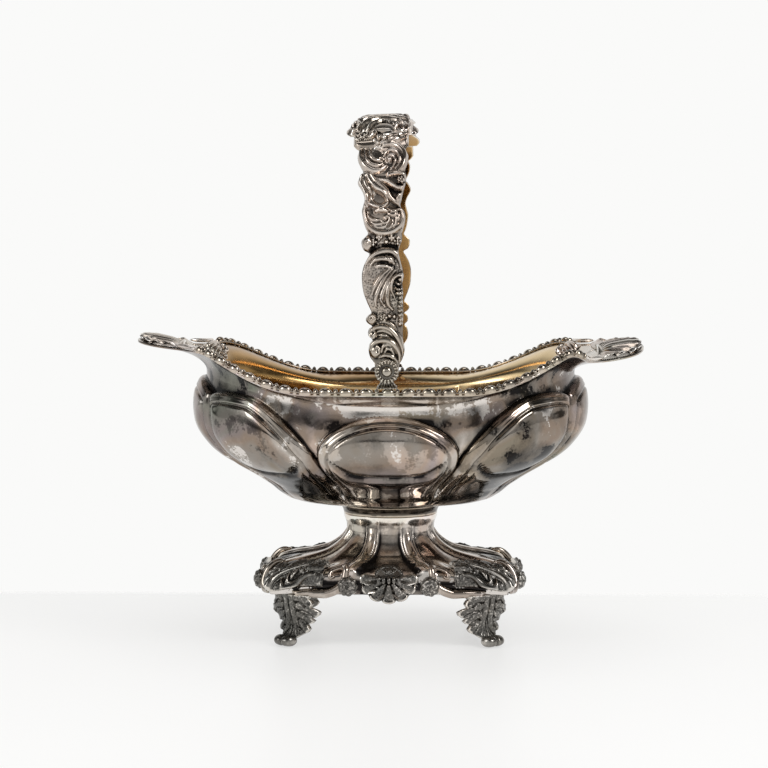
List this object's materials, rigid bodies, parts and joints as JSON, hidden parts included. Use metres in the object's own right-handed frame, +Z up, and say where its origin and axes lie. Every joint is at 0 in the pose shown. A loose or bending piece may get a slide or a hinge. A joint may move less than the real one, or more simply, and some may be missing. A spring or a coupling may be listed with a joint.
{
  "type": "bonbon dish",
  "caption": "Footed oval silver bonbon dish with lobed belly, flared shell-ear rim, swing bail handle, fluted pedestal and leaf feet.",
  "frame": {"origin": "on the ground under the middle of the dish", "axes": "+Z up, X along the dish from ear to ear, Y across it from hinge to hinge, near side at -Y"},
  "size_m": [0.262, 0.1878, 0.2694],
  "materials": {
    "bowl_silver": "polished silver gone grey-brown with tarnish, gilt inside",
    "cast_silver": "cast silver ornament, dark in the recesses and bright on the high points",
    "handle_silver": "cast silver, dark recesses, gilt inner face",
    "base_silver": "polished silver with grey-brown tarnish",
    "dark_silver": "stippled cast silver with near-black tarnish"
  },
  "bodies": {
    "dish": {"bowl": "bowl_silver", "rim_border_front": "cast_silver", "rim_border_back": "cast_silver", "ear_shell_right": "cast_silver", "ear_shell_left": "cast_silver", "stem_collar": "base_silver", "pedestal": "base_silver", "hinge_lug_front": "cast_silver", "hinge_lug_rear": "cast_silver", "rim_leaf_right_back": "cast_silver", "base_scroll_long_right_back": "base_silver", "base_scroll_short_right_back": "base_silver", "corner_leaf_right_back": "base_silver", "foot_right_back": "dark_silver", "rim_leaf_left_back": "cast_silver", "base_scroll_long_left_back": "base_silver", "base_scroll_short_left_back": "base_silver", "corner_leaf_left_back": "base_silver", "foot_left_back": "dark_silver", "rim_leaf_left_front": "cast_silver", "base_scroll_long_left_front": "base_silver", "base_scroll_short_left_front": "base_silver", "corner_leaf_left_front": "base_silver", "foot_left_front": "dark_silver", "rim_leaf_right_front": "cast_silver", "base_scroll_long_right_front": "base_silver", "base_scroll_short_right_front": "base_silver", "corner_leaf_right_front": "base_silver", "foot_right_front": "dark_silver", "base_shell_front": "dark_silver", "base_ball_front_a": "dark_silver", "base_ball_front_b": "dark_silver", "base_shell_right": "dark_silver", "base_ball_right_a": "dark_silver", "base_ball_right_b": "dark_silver", "base_shell_back": "dark_silver", "base_ball_back_a": "dark_silver", "base_ball_back_b": "dark_silver", "base_shell_left": "dark_silver", "base_ball_left_a": "dark_silver", "base_ball_left_b": "dark_silver"},
    "handle": {"handle_arm_front": "handle_silver", "handle_arm_rear": "handle_silver", "handle_crown": "handle_silver", "hinge_rosette_front": "handle_silver", "hinge_rosette_rear": "handle_silver", "hinge_pin_front": "base_silver", "hinge_pin_rear": "base_silver"}
  },
  "joints": [
    {"name": "handle_swing", "type": "hinge", "parent": "dish", "child": "handle", "pos_m": [0, 0, 0.1425], "axis": [0, 1, 0], "range_deg": [-71.5, 74.3]}
  ]
}
